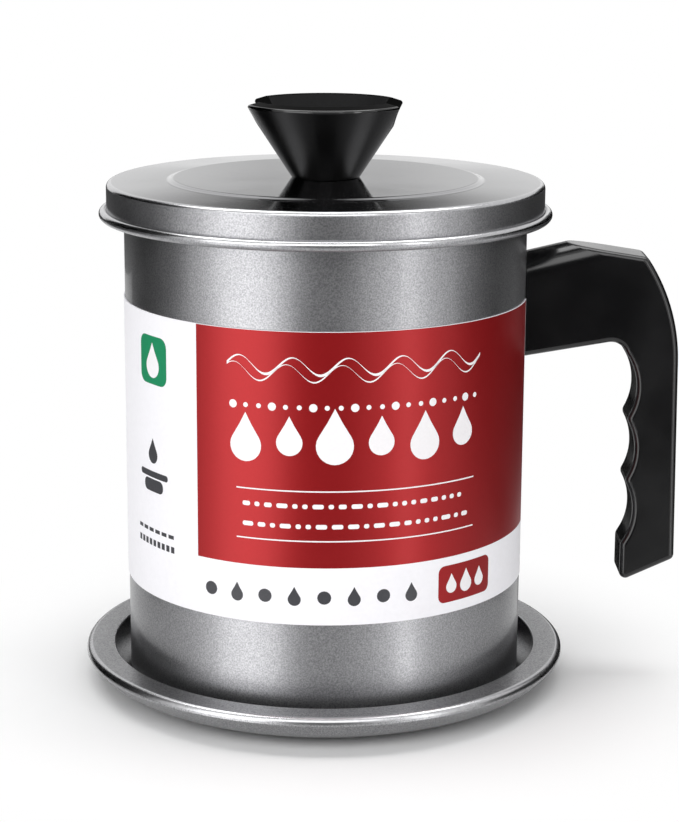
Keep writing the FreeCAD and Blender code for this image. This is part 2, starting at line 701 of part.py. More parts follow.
def grip_corners(s):
    """Side view of the handle before its edges are rounded, from the root's underside round the back."""
    pot_side = s.pot_radius - s.cut_over
    rise = (s.crown_z - s.root_top) / (s.crown_x - s.pot_radius)
    return [
        (pot_side, s.root_bottom),
        (s.grip_front, s.crook_z),
        (s.grip_front, s.toe_z),
        (s.grip_back, s.heel_z),
        (s.shoulder_x, s.shoulder_z),
        (s.crown_x, s.crown_z),
        (pot_side, s.root_top - rise * s.cut_over),
    ]


def is_sharp(shape, edge):
    """Whether the two faces along an edge meet at an angle there."""
    middle = edge.valueAt((edge.FirstParameter + edge.LastParameter) / 2)
    normals = []
    for face in shape.ancestorsOfType(edge, Part.Face):
        across, along = face.Surface.parameter(middle)
        normals.append(face.normalAt(across, along))
    return len(normals) == 2 and abs(normals[0].dot(normals[1])) < 0.99


def side_edges(shape, half):
    """Names of the sharp edges of the handle's flat side faces, at this distance from its middle."""
    names = []
    for number, edge in enumerate(shape.Edges, start=1):
        box = edge.BoundBox
        flat = abs(abs(box.YMin) - half) < 1e-3 and box.YLength < 1e-3
        if flat and is_sharp(shape, edge):
            names.append("Edge%d" % number)
    return names


def make_handle_grip(doc, s):
    """Moulded handle: rounded root with a flat thumb rest, three finger scallops, rounded edges."""
    body = new_body(doc, "handle_grip")
    side = draw_outline(body, "XZ_Plane", "grip_side", grip_corners(s))
    last = pad(body, side, "grip", s.grip_width)
    doc.recompute()
    turns = (("crook", s.grip_front, s.crook_z, s.crook_round),
             ("shoulder", s.shoulder_x, s.shoulder_z, s.shoulder_round),
             ("heel", s.grip_back, s.heel_z, s.heel_round),
             ("toe", s.grip_front, s.toe_z, s.heel_round))
    for name, across, height, radius in turns:
        edges = cross_edges_at(last.Shape, across.value, height.value)
        last = fillet(doc, body, last, name + "_fillet", edges, radius)
    last = round_crown(doc, body, last, s)
    last = cut_thumb_rest(doc, body, s)
    last = cut_scallops(doc, body, s)
    last = round_sides(doc, body, last, s)
    cut_root(doc, body, s)
    return body


def round_crown(doc, body, last, s):
    """Round the two top edges of the root."""
    half = s.grip_width.value / 2
    names = []
    for number, edge in enumerate(last.Shape.Edges, start=1):
        box = edge.BoundBox
        flat = abs(abs(box.YMin) - half) < 1e-3 and abs(box.YMax - box.YMin) < 1e-3
        if flat and abs(box.ZMax - s.crown_z.value) < 1e-3 and box.XMin < s.pot_radius.value:
            names.append("Edge%d" % number)
    return fillet(doc, body, last, "crown_fillet", names, s.crown_round)


def cut_thumb_rest(doc, body, s):
    """Slice the rounded top flat, from a point near the root to the back."""
    fall = (s.thumb_start_z - s.thumb_end_z) / (s.thumb_end_x - s.thumb_start_x)
    front = s.thumb_start_x - s.thumb_over
    back = s.thumb_end_x + s.thumb_over
    above = s.crown_z + s.thumb_over
    slice_side = draw_outline(body, "XZ_Plane", "thumb_side", [
        (front, s.thumb_start_z + fall * s.thumb_over),
        (back, s.thumb_end_z - fall * s.thumb_over),
        (back, above),
        (front, above),
    ])
    cut = pocket(body, slice_side, "thumb_rest", s.grip_width + s.cut_over)
    doc.recompute()
    edge = nearest_cross_edge(cut.Shape, s.thumb_end_x.value, s.thumb_end_z.value)
    return fillet(doc, body, cut, "thumb_fillet", [edge], s.thumb_round)


def draw_scallop(body, name, height, s):
    """A scallop's section: an arc closed by an upright chord in front of the grip."""
    sketch = new_sketch(body, "XZ_Plane", name)
    axis = s.scallop_axis
    chord = s.grip_front - s.scallop_over
    run = chord.value - axis.value
    radius = s.scallop_radius.value
    half_angle = math.acos(run / radius)
    circle = Part.Circle(Vector(axis.value, height.value, 0), Vector(0, 0, 1), radius)
    sketch.addGeometry(Part.ArcOfCircle(circle, -half_angle, half_angle))
    reach = radius * math.sin(half_angle)
    top = Vector(chord.value, height.value + reach, 0)
    foot = Vector(chord.value, height.value - reach, 0)
    sketch.addGeometry(Part.LineSegment(top, foot))
    sketch.addConstraint(Sketcher.Constraint("Coincident", 0, 2, 1, 1))
    sketch.addConstraint(Sketcher.Constraint("Coincident", 1, 2, 0, 1))
    sketch.addConstraint(Sketcher.Constraint("Vertical", 1))
    pin(sketch, 0, 3, axis, height)
    bound(sketch, Sketcher.Constraint("Radius", 0, radius), s.scallop_radius)
    bound(sketch, Sketcher.Constraint("DistanceX", 1, 1, chord.value), chord)
    return sketch


def cut_scallops(doc, body, s):
    """Three equal finger scallops up the front of the grip, with rounded crests and ends."""
    for step in range(SCALLOPS):
        height = s.scallop_low_z + s.scallop_pitch * step
        section = draw_scallop(body, "scallop_arc_%d" % step, height, s)
        last = pocket(body, section, "scallop_%d" % step, s.grip_width + s.cut_over)
    doc.recompute()
    axis = s.scallop_axis.value
    half_pitch = s.scallop_pitch.value / 2
    crest = axis + math.sqrt(s.scallop_radius.value ** 2 - half_pitch ** 2)
    crests = [nearest_cross_edge(last.Shape, crest, s.scallop_low_z.value + half_pitch * (2 * step + 1))
              for step in range(SCALLOPS - 1)]
    last = fillet(doc, body, last, "crest_fillet", crests, s.cusp_round)
    half_open = math.sqrt(s.scallop_radius.value ** 2 - (s.grip_front.value - axis) ** 2)
    high_z = s.scallop_low_z.value + s.scallop_pitch.value * (SCALLOPS - 1)
    ends = [nearest_cross_edge(last.Shape, s.grip_front.value, s.scallop_low_z.value - half_open),
            nearest_cross_edge(last.Shape, s.grip_front.value, high_z + half_open)]
    return fillet(doc, body, last, "run_out_fillet", ends, s.scallop_run_out)


def round_sides(doc, body, last, s):
    """Round every edge of the two side faces."""
    names = side_edges(last.Shape, s.grip_width.value / 2)
    return fillet(doc, body, last, "side_fillet", names, s.grip_bevel)


def cut_root(doc, body, s):
    """Fit the root to the pot, and hollow it for the bracket, the nut and the screw."""
    pot_side = s.pot_radius + s.root_gap
    bore(body, "pot_seat", 0, 0, pot_side, s.crown_z + s.cut_over)
    plate_room = s.pot_radius + s.fit_gap + s.bracket_sheet + s.socket_gap
    low = s.saddle_bottom - s.socket_gap
    high = s.saddle_top + s.socket_gap
    recess = draw_box(body, "XZ_Plane", "plate_recess", s.pot_radius - s.cut_over, plate_room, low, high)
    turn(body, recess, "plate_room", "PartDesign::Groove", s.saddle_angle + s.saddle_room)
    socket = draw_box(body, "XZ_Plane", "socket_side", s.pot_radius, s.tongue_end + s.socket_gap,
                      s.tongue_z - s.socket_gap, s.nut_top + s.nut_headroom)
    pocket(body, socket, "socket", s.tongue_width + s.socket_gap * 2)
    below = s.root_bottom - s.cut_over
    bore(body, "screw_way", s.grip_screw_x, below, s.grip_screw_radius + s.socket_gap, s.tongue_z - below)
    bore(body, "screw_recess", s.grip_screw_x, below, s.grip_washer_radius + s.socket_gap,
         s.recess_top - below)


def make_handle_screw(doc, s):
    tip = s.nut_top + s.screw_proud
    sizes = (s.grip_screw_seat, s.grip_screw_head, s.grip_screw_head_height, s.grip_screw_radius, tip)
    body = make_screw(doc, s, "handle_screw", sizes)
    body.Placement = FreeCAD.Placement(Vector(s.grip_screw_x.value, 0, 0), FreeCAD.Rotation())
    return body


def make_handle_washer(doc, s):
    hole = s.grip_screw_radius + s.fit_gap
    body = make_washer(doc, "handle_washer", hole, s.grip_washer_radius, s.grip_screw_seat,
                       s.grip_washer_thickness)
    body.Placement = FreeCAD.Placement(Vector(s.grip_screw_x.value, 0, 0), FreeCAD.Rotation())
    return body


MAKERS = [
    make_drip_tray,
    make_pot_body,
    make_label_sleeve,
    make_handle_bracket,
    make_handle_weld_nut,
    make_handle_grip,
    make_handle_washer,
    make_handle_screw,
    make_strainer_cup,
    make_strainer_floor,
    make_strainer_mesh,
    make_strainer_ring,
    make_lid_shell,
    make_lid_knob,
    make_knob_insert,
    make_knob_washer,
    make_knob_screw,
]


def check(doc, bodies):
    """Stop if a feature failed, or if a piece is empty, broken or in several lumps."""
    for item in doc.Objects:
        if "Invalid" in item.State or "Error" in item.State:
            raise RuntimeError("%s failed: %s" % (item.Name, item.State))
    for body in bodies:
        shape = body.Shape
        if shape.isNull() or not shape.isValid():
            raise RuntimeError("%s has no valid shape" % body.Label)
        print("%-18s solids %d  volume %10.1f mm3  faces %d" % (
            body.Label, len(shape.Solids), shape.Volume, len(shape.Faces)))


def main():
    doc = FreeCAD.newDocument("GreaseContainer")
    sizes = make_sheet(doc)
    add_places(sizes)
    bodies = [maker(doc, sizes) for maker in MAKERS]
    doc.recompute()
    check(doc, bodies)
    os.makedirs("parts", exist_ok=True)
    for body in bodies:
        body.Shape.exportStep(os.path.join("parts", body.Label + ".step"))


main()
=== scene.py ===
import math
import random

import bpy
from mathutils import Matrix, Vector


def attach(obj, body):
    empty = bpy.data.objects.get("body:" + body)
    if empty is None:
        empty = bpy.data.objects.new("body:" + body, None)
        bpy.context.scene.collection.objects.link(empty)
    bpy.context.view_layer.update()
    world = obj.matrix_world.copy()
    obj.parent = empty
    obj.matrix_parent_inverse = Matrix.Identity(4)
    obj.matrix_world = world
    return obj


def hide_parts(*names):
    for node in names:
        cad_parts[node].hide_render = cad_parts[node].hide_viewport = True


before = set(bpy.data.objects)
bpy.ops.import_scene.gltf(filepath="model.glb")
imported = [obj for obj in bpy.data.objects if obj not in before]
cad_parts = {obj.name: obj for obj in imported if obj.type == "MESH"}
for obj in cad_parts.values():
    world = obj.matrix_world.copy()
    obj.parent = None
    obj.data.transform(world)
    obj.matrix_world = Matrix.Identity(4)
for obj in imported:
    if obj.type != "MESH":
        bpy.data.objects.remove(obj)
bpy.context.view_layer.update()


# ------------------------------------------------------------------ studio: camera, table, lamps, cards
# A product shot on a white table, from in front and a little above the lid, with a long lens. Four soft
# lamps light the pot. Black cards between them give the grey coating its dark bands, and a graded card
# behind gives the lid's polished top its even grey.

CAMERA_TILT = 76.56
CAMERA_ROLL = 0.2
camera_data = bpy.data.cameras.new("camera")
camera_data.sensor_width = 36.0
camera_data.lens = 99.8
camera_data.shift_x = 0.0178
camera = bpy.data.objects.new("camera", camera_data)
camera.location = (0.0, -0.7119, 0.2573)
camera.rotation_euler = (math.radians(CAMERA_TILT), 0.0, 0.0)
camera.rotation_euler.rotate_axis("Z", math.radians(CAMERA_ROLL))
bpy.context.scene.collection.objects.link(camera)
bpy.context.scene.camera = camera
bpy.context.scene.view_settings.view_transform = "Standard"


def paint(code):
    """Linear colour of an sRGB hex code."""
    parts = [int(code[index:index + 2], 16) / 255 for index in (1, 3, 5)]
    return [part / 12.92 if part <= 0.04045 else ((part + 0.055) / 1.055) ** 2.4 for part in parts] + [1.0]


def add_node(tree, kind, settings=None, links=None):
    """Add a shader node; settings are its properties or inputs by name or number, links feed its inputs."""
    added = tree.nodes.new(kind)
    for name, value in (settings or {}).items():
        if isinstance(name, int) or name in added.inputs:
            added.inputs[name].default_value = value
        else:
            setattr(added, name, value)
    for name, socket in (links or {}).items():
        tree.links.new(socket, added.inputs[name])
    return added


def new_material(name):
    """An empty node material with its tree and its output."""
    material = bpy.data.materials.new(name)
    material.use_nodes = True
    tree = material.node_tree
    tree.nodes.clear()
    return material, tree, add_node(tree, "ShaderNodeOutputMaterial")


def deselect_all():
    """Leave edit mode and select nothing."""
    if bpy.context.object and bpy.context.object.mode != "OBJECT":
        bpy.ops.object.mode_set(mode="OBJECT")
    bpy.ops.object.select_all(action="DESELECT")


# The table is matt white and takes the object's shadow. Between the two SHADOW_FADE distances from the
# pot's axis, in metres, it turns to pure white for the camera, and past MIRROR_EDGE no mirror shows it.
TABLE_SIZE = 6.0
TABLE_WHITE = "#F4F4F4"
SHADOW_FADE = (0.078, 0.15)
MIRROR_EDGE = 0.0895
deselect_all()
bpy.ops.mesh.primitive_plane_add(size=TABLE_SIZE, location=(0, 0, 0))
table = bpy.context.object
table.name = "table"
material, tree, out = new_material("table_white")
light_path = add_node(tree, "ShaderNodeLightPath")
place = add_node(tree, "ShaderNodeTexCoord")
far = add_node(tree, "ShaderNodeVectorMath", {"operation": "LENGTH"}, {0: place.outputs["Object"]})
fade = add_node(tree, "ShaderNodeMapRange",
                {"interpolation_type": "SMOOTHSTEP", "From Min": SHADOW_FADE[0], "From Max": SHADOW_FADE[1]},
                {"Value": far.outputs["Value"]})
share = add_node(tree, "ShaderNodeMath", {"operation": "MULTIPLY"},
                 {0: fade.outputs[0], 1: light_path.outputs["Is Camera Ray"]})
board = add_node(tree, "ShaderNodeBsdfDiffuse", {"Color": paint(TABLE_WHITE)})
glow = add_node(tree, "ShaderNodeEmission", {"Color": (1, 1, 1, 1), "Strength": 1.0})
blend = add_node(tree, "ShaderNodeMixShader",
                 links={0: share.outputs[0], 1: board.outputs[0], 2: glow.outputs[0]})
beyond = add_node(tree, "ShaderNodeMath", {"operation": "GREATER_THAN", 1: MIRROR_EDGE},
                  {0: far.outputs["Value"]})
unseen = add_node(tree, "ShaderNodeMath", {"operation": "MULTIPLY"},
                  {0: beyond.outputs[0], 1: light_path.outputs["Is Glossy Ray"]})
clear = add_node(tree, "ShaderNodeBsdfTransparent")
cut_off = add_node(tree, "ShaderNodeMixShader",
                   links={0: unseen.outputs[0], 1: blend.outputs[0], 2: clear.outputs[0]})
tree.links.new(cut_off.outputs[0], out.inputs["Surface"])
table.data.materials.append(material)

# The room is pure white to the camera and in mirrors, and dimmer where it lights matt surfaces.
ROOM_LEVEL = 0.28
world = bpy.data.worlds.new("studio")
bpy.context.scene.world = world
world.use_nodes = True
tree = world.node_tree
tree.nodes.clear()
light_path = add_node(tree, "ShaderNodeLightPath")
either = add_node(tree, "ShaderNodeMath", {"operation": "MAXIMUM"},
                  {0: light_path.outputs["Is Camera Ray"], 1: light_path.outputs["Is Glossy Ray"]})
seen = add_node(tree, "ShaderNodeMath", {"operation": "MAXIMUM"},
                {0: either.outputs[0], 1: light_path.outputs["Is Transmission Ray"]})
level = add_node(tree, "ShaderNodeMapRange", {"To Min": ROOM_LEVEL, "To Max": 1.0},
                 {"Value": seen.outputs[0]})
background = add_node(tree, "ShaderNodeBackground", {"Color": (1, 1, 1, 1)}, {"Strength": level.outputs[0]})
add_node(tree, "ShaderNodeOutputWorld", links={"Surface": background.outputs[0]})


def stand_at(piece, turn, distance, height, aim):
    """Stand a lamp or card round the pot, facing its axis. turn: 0 in front, 90 on the handle's side."""
    side = math.radians(turn)
    piece.location = (distance * math.sin(side), -distance * math.cos(side), height)
    towards = Vector((0, 0, aim)) - piece.location
    piece.rotation_euler = towards.to_track_quat("-Z", "Y").to_euler()


def soft_lamp(name, turn, distance, height, aim, width, tall, watts):
    """A soft box: an oblong lamp, its places and sizes in metres."""
    lamp_data = bpy.data.lights.new(name, "AREA")
    lamp_data.shape = "RECTANGLE"
    lamp_data.size = width
    lamp_data.size_y = tall
    lamp_data.energy = watts
    lamp = bpy.data.objects.new(name, lamp_data)
    bpy.context.scene.collection.objects.link(lamp)
    stand_at(lamp, turn, distance, height, aim)


soft_lamp("lamp_left", turn=-43, distance=1.0, height=0.15, aim=0.15, width=0.66, tall=1.5, watts=6.6)
soft_lamp("lamp_right", turn=46, distance=1.0, height=0.15, aim=0.15, width=0.18, tall=1.5, watts=2.4)
soft_lamp("lamp_above", turn=180, distance=0.10, height=0.95, aim=0.16, width=1.30, tall=0.40, watts=7.0)
soft_lamp("lamp_front", turn=0, distance=0.95, height=0.88, aim=0.16, width=1.00, tall=0.70, watts=4.9)

black_felt, tree, out = new_material("black_card")
felt = add_node(tree, "ShaderNodeBsdfDiffuse", {"Color": paint("#0A0A0A")})
tree.links.new(felt.outputs[0], out.inputs["Surface"])

# The card behind is light grey along its foot and black above, and lightens towards both sides, so that
# the lid's disc mirrors an even grey and the ring in front of it a soft black. Object coordinates run
# from -0.5 to 0.5 across the card and up it.
FOOT_DARKNESS = 0.39
FOOT_TOP = -0.458
BLACK_FROM = -0.438
SIDE_FADE = (0.12, 0.60)
graded_card, tree, out = new_material("graded_card")
place = add_node(tree, "ShaderNodeTexCoord")
parts = add_node(tree, "ShaderNodeSeparateXYZ", links={0: place.outputs["Object"]})
upward = add_node(tree, "ShaderNodeMapRange",
                  {"From Min": FOOT_TOP, "From Max": BLACK_FROM, "To Min": FOOT_DARKNESS},
                  {"Value": parts.outputs["Y"]})
aside = add_node(tree, "ShaderNodeMath", {"operation": "ABSOLUTE"}, {0: parts.outputs["X"]})
sideways = add_node(tree, "ShaderNodeMapRange",
                    {"From Min": SIDE_FADE[0], "From Max": SIDE_FADE[1], "To Min": 1.0, "To Max": 0.0},
                    {"Value": aside.outputs[0]})
darkness = add_node(tree, "ShaderNodeMath", {"operation": "MULTIPLY"},
                    {0: upward.outputs[0], 1: sideways.outputs[0]})
brightness = add_node(tree, "ShaderNodeMath", {"operation": "SUBTRACT", 0: 1.0}, {1: darkness.outputs[0]})
shine = add_node(tree, "ShaderNodeEmission", {"Color": (1, 1, 1, 1)}, {"Strength": brightness.outputs[0]})
tree.links.new(shine.outputs[0], out.inputs["Surface"])


def stand_card(name, material, turn, distance, height, aim, width, tall):
    """A card that only mirrors show: the camera doesn't see it, and it shades no matt surface."""
    deselect_all()
    bpy.ops.mesh.primitive_plane_add(size=1.0)
    card = bpy.context.object
    card.name = name
    card.scale = (width, tall, 1)
    stand_at(card, turn, distance, height, aim)
    card.visible_camera = False
    card.visible_diffuse = False
    card.visible_shadow = False
    card.data.materials.append(material)


stand_card("card_front", black_felt, turn=0, distance=1.2, height=0.2, aim=0.2, width=0.80, tall=1.1)
stand_card("card_above", black_felt, turn=0, distance=0.232, height=0.95, aim=0.16, width=0.34, tall=0.20)
stand_card("card_left", black_felt, turn=-112, distance=1.2, height=0.5, aim=0.5, width=1.40, tall=1.7)
stand_card("card_right", black_felt, turn=120, distance=1.2, height=0.1, aim=0.1, width=2.20, tall=0.9)
stand_card("card_low", black_felt, turn=176, distance=0.902, height=-0.1225, aim=-0.1225,
           width=0.57, tall=0.555)
stand_card("card_low_left", black_felt, turn=-154, distance=1.0, height=0.055, aim=0.055,
           width=0.50, tall=0.19)
stand_card("card_behind", graded_card, turn=180, distance=0.7015, height=0.7985, aim=0.3256,
           width=0.36, tall=1.263)


# ------------------------------------------------------------------ drip tray
# A round tray pressed from sheet steel, with a flat foot, a bellied wall and a broad flat rim turned in
# towards the pot. It has the pot's grey non-stick coating, baked on in metallic flakes under a clear film.

TRAY_SHEET = 1.0
TRAY_RIM = 77.5
TRAY_TOP = 11.9
TRAY_MOUTH = 68.3
LIP_ROUND = 0.5
EMBOSS_RISE = 0.8
FOOT_EDGE = (62.5, 0)
BELLY = (73.2, 4.6)
RIM_FOOT = (TRAY_RIM, 9.5)
RIM_CORNER = (TRAY_RIM, TRAY_TOP)
BELLY_BEND = 13
RIM_FOOT_BEND = 0.6
CORNER_BEND = 1.9
INNER_FOOT_EDGE = (62.3, TRAY_SHEET)
INNER_BELLY = (72.6, 5.5)
INNER_RIM = 76.4


def arc(centre_radius, centre_height, radius, start, end, steps):
    """Points of an arc in a turned outline, from one angle to another in degrees."""
    angles = [math.radians(start + (end - start) * step / steps) for step in range(steps + 1)]
    return [(centre_radius + radius * math.cos(angle), centre_height + radius * math.sin(angle))
            for angle in angles]


def bend(before, corner, after, radius, steps):
    """Points of a rounded corner in a turned outline."""
    corner, before, after = Vector(corner), Vector(before), Vector(after)
    back = (before - corner).normalized()
    on = (after - corner).normalized()
    half = back.angle(on) / 2
    reach = radius / math.tan(half)
    centre = corner + (back + on).normalized() * radius / math.sin(half)
    start = corner + back * reach - centre
    sweep = start.angle_signed(corner + on * reach - centre)
    points = []
    for step in range(steps + 1):
        angle = -sweep * step / steps
        cos, sin = math.cos(angle), math.sin(angle)
        points.append((centre.x + start.x * cos - start.y * sin, centre.y + start.x * sin + start.y * cos))
    return points


def turned(name, outline, facets=192, closed=False):
    """Turn an outline of (radius, height) in mm about the Z axis: a circle, extruded ring by ring."""
    deselect_all()
    outline = [(max(radius, 0.001), height) for radius, height in outline]
    radius, height = outline[0]
    bpy.ops.mesh.primitive_circle_add(vertices=facets, radius=radius / 1000, location=(0, 0, 0))
    piece = bpy.context.object
    piece.name = name
    bpy.ops.object.mode_set(mode="EDIT")
    bpy.ops.mesh.select_all(action="SELECT")
    bpy.ops.transform.translate(value=(0, 0, height / 1000))
    rings = outline[1:] + ([outline[0]] if closed else [])
    for next_radius, next_height in rings:
        rise = (next_height - height) / 1000
        bpy.ops.mesh.extrude_edges_move(TRANSFORM_OT_translate={"value": (0, 0, rise)})
        share = next_radius / radius
        bpy.ops.transform.resize(value=(share, share, 1), center_override=(0, 0, 0))
        radius, height = next_radius, next_height
    bpy.ops.mesh.select_all(action="SELECT")
    bpy.ops.mesh.remove_doubles(threshold=0.000005)
    bpy.ops.mesh.normals_make_consistent(inside=False)
    bpy.ops.object.mode_set(mode="OBJECT")
    return piece


def smooth(piece, angle=30):
    """Shade a piece smooth, with its sharp corners kept and its flats shaded flat up to their bends."""
    deselect_all()
    piece.select_set(True)
    bpy.context.view_layer.objects.active = piece
    bpy.ops.object.shade_smooth_by_angle(angle=math.radians(angle))
    flats = piece.modifiers.new("flats", "WEIGHTED_NORMAL")
    flats.weight = 50
    flats.keep_sharp = True
    bpy.ops.object.modifier_apply(modifier=flats.name)


def place_of(face):
    """A face's reach from the Z axis and its height, in millimetres."""
    return math.hypot(face.center.x, face.center.y) * 1000, face.center.z * 1000


def flake_coating(name, dark, light, roughness, clear, metal=0.97, grit=0.45):
    """Grey coating full of metal flakes that sparkle, under a clear film that adds a faint sharp shine.

    grit is a flake's size in mm, drawn several times as coarse as the real flakes, so that they show.
    Clouds of 22 mm make the sheen a little uneven, as a sprayed coat is.
    """
    material, tree, out = new_material(name)
    place = add_node(tree, "ShaderNodeTexCoord")
    flakes = add_node(tree, "ShaderNodeTexNoise", {"Scale": 1000 / grit, "Detail": 1.0, "Roughness": 0.6},
                      {"Vector": place.outputs["Object"]})
    clouds = add_node(tree, "ShaderNodeTexNoise", {"Scale": 1000 / 22.0, "Detail": 2.0},
                      {"Vector": place.outputs["Object"]})
    contrast = add_node(tree, "ShaderNodeMapRange", {"From Min": 0.3, "From Max": 0.7},
                        {"Value": flakes.outputs["Fac"]})
    colour = add_node(tree, "ShaderNodeMix", {"data_type": "RGBA", 6: paint(dark), 7: paint(light)},
                      {0: contrast.outputs[0]})
    sheen = add_node(tree, "ShaderNodeMapRange",
                     {"From Min": 0.3, "From Max": 0.7,
                      "To Min": roughness - 0.03, "To Max": roughness + 0.03},
                     {"Value": clouds.outputs["Fac"]})
    bump = add_node(tree, "ShaderNodeBump", {"Strength": 0.3 * roughness, "Distance": 0.0001},
                    {"Height": flakes.outputs["Fac"]})
    coat = add_node(tree, "ShaderNodeBsdfPrincipled",
                    {"Metallic": metal, "Coat Weight": clear, "Coat Roughness": 0.04, "Coat IOR": 1.5},
                    {"Base Color": colour.outputs[2], "Roughness": sheen.outputs[0],
                     "Normal": bump.outputs[0]})
    tree.links.new(coat.outputs[0], out.inputs["Surface"])
    return material


tray_outline = [(0, 0), (30, 0), (32, EMBOSS_RISE), (38, EMBOSS_RISE), (40, 0)]
tray_outline += bend((40, 0), FOOT_EDGE, BELLY, BELLY_BEND, 10)
tray_outline += bend(FOOT_EDGE, BELLY, RIM_FOOT, BELLY_BEND, 10)
tray_outline += bend(BELLY, RIM_FOOT, RIM_CORNER, RIM_FOOT_BEND, 4)
tray_outline += bend(RIM_FOOT, RIM_CORNER, (TRAY_MOUTH, TRAY_TOP), CORNER_BEND, 10)
tray_outline += arc(TRAY_MOUTH + LIP_ROUND, TRAY_TOP - LIP_ROUND, LIP_ROUND, 90, 270, 8)
tray_outline += [(75.9, 10.9), (INNER_RIM, 10.4), (INNER_RIM, 9.8)]
tray_outline += bend((INNER_RIM, 9.8), INNER_BELLY, INNER_FOOT_EDGE, BELLY_BEND - TRAY_SHEET, 10)
tray_outline += bend(INNER_BELLY, INNER_FOOT_EDGE, (40, TRAY_SHEET), BELLY_BEND - TRAY_SHEET, 10)
tray_outline += [(40.4, TRAY_SHEET), (38.4, TRAY_SHEET + EMBOSS_RISE), (31.6, TRAY_SHEET + EMBOSS_RISE)]
tray_outline += [(29.6, TRAY_SHEET), (0, TRAY_SHEET)]
tray = turned("tray_pressing", tray_outline)
smooth(tray)

# The coating has flowed smooth on the rim's outer corner and on its inner lip, where it shows as a sharper
# line. Those faces also get a lighter grey than the rest, a painted highlight that brightens the line.
CORNER_FROM = 75.6
CORNER_ABOVE = 10.4
LIP_WITHIN = 69.3
LIP_ABOVE = 10.8
tray.data.materials.append(flake_coating("baked_flake_coating_tray", "#7E7E80", "#AEAEB0", 0.36, 0.3))
tray.data.materials.append(
    flake_coating("flowed_coating_tray_edge_painted_highlight", "#A8A8AA", "#B2B2B4", 0.27, 0.3, metal=1.0, grit=1.3))
for face in tray.data.polygons:
    reach, height = place_of(face)
    on_corner = reach > CORNER_FROM and height > CORNER_ABOVE
    on_lip = reach < LIP_WITHIN and height > LIP_ABOVE
    face.material_index = 1 if on_corner or on_lip else 0
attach(tray, "tray")
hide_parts("drip_tray")


# ------------------------------------------------------------------ pot
# A pot drawn from sheet steel: a straight wall, a raised panel in its bottom and a rim rolled outwards
# into a hollow bead. It is coated inside and out with the same metallic grey non-stick film.

POT_RADIUS = 63.3
POT_SHEET = 0.8
POT_FOOT = 1.3
POT_FOOT_BEND = 4.0
PANEL_RISE = 0.8
POT_BEAD = 1.6
POT_BEAD_HEIGHT = 158.1
POT_BEAD_FOOT = 156.72

# Rings divide the wall at WALL_RINGS. WALL_MARK only points the bends at its foot up the wall.
WALL_RINGS = (40, 90, 130)
WALL_MARK = 150

pot_inside = POT_RADIUS - POT_SHEET
pot_floor = POT_FOOT + POT_SHEET
panel_under = POT_FOOT + PANEL_RISE
panel_top = panel_under + POT_SHEET
pot_outline = [(0, panel_under), (50, panel_under), (52, POT_FOOT)]
pot_outline += bend((52, POT_FOOT), (POT_RADIUS, POT_FOOT), (POT_RADIUS, WALL_MARK), POT_FOOT_BEND, 8)
pot_outline += [(POT_RADIUS, height) for height in WALL_RINGS + (POT_BEAD_FOOT,)]
pot_outline += arc(pot_inside + POT_BEAD, POT_BEAD_HEIGHT, POT_BEAD, -120, 180, 30)
pot_outline += [(pot_inside, height) for height in reversed(WALL_RINGS)]
pot_outline += bend((pot_inside, WALL_MARK), (pot_inside, pot_floor), (52, pot_floor),
                    POT_FOOT_BEND - POT_SHEET, 8)
pot_outline += [(52.3, pot_floor), (50.3, panel_top), (0, panel_top)]
pot = turned("pot_drawing", pot_outline)
smooth(pot)
pot.data.materials.append(flake_coating("baked_flake_coating_pot", "#828285", "#A6A6A8", 0.37, 0.25))
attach(pot, "pot")
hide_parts("pot_body")


# ------------------------------------------------------------------ printed wrap
# A card sleeve printed in red on white and glazed, wrapped round the pot and open at the handle. Its print
# is generic: drops, waves, dots and rules, with a small badge and a green mark.

SLEEVE_INNER = 63.35
SLEEVE_OUTER = 63.65
SLEEVE_LOW = 36.4
SLEEVE_TOP = 125.9
SLEEVE_OPEN = 9.5
SLEEVE_FACETS = 360

# The lifts keep the first layer of print clear of the card and the second clear of the first.
FIRST_LIFT = 0.02
SECOND_LIFT = 0.04
PRINT_FACET = 1.2
WAVE_STEP = 0.8


def wrap(piece):
    """Bend a flat print round the sleeve: x is the way round from the front, y the height, z the lift."""
    for vertex in piece.data.vertices:
        turn = vertex.co.x / (SLEEVE_OUTER / 1000)
        reach = SLEEVE_OUTER / 1000 + vertex.co.z
        vertex.co = (reach * math.sin(turn), -reach * math.cos(turn), vertex.co.y)
    piece.data.update()


def card_stock(name):
    """White card, clay-coated and glazed: even and smooth, with a soft gloss. Its fibres are 1.5 mm long."""
    material, tree, out = new_material(name)
    place = add_node(tree, "ShaderNodeTexCoord")
    fibres = add_node(tree, "ShaderNodeTexNoise", {"Scale": 1000 / 1.5, "Detail": 3.0},
                      {"Vector": place.outputs["Object"]})
    colour = add_node(tree, "ShaderNodeMix", {"data_type": "RGBA", 6: paint("#F3F2F6"), 7: paint("#FBFAFE")},
                      {0: fibres.outputs["Fac"]})
    bump = add_node(tree, "ShaderNodeBump", {"Strength": 0.05, "Distance": 0.00005},
                    {"Height": fibres.outputs["Fac"]})
    glaze = add_node(tree, "ShaderNodeBsdfPrincipled", {"Roughness": 0.45, "Specular IOR Level": 0.4},
                     {"Base Color": colour.outputs[2], "Normal": bump.outputs[0]})
    tree.links.new(glaze.outputs[0], out.inputs["Surface"])
    return material


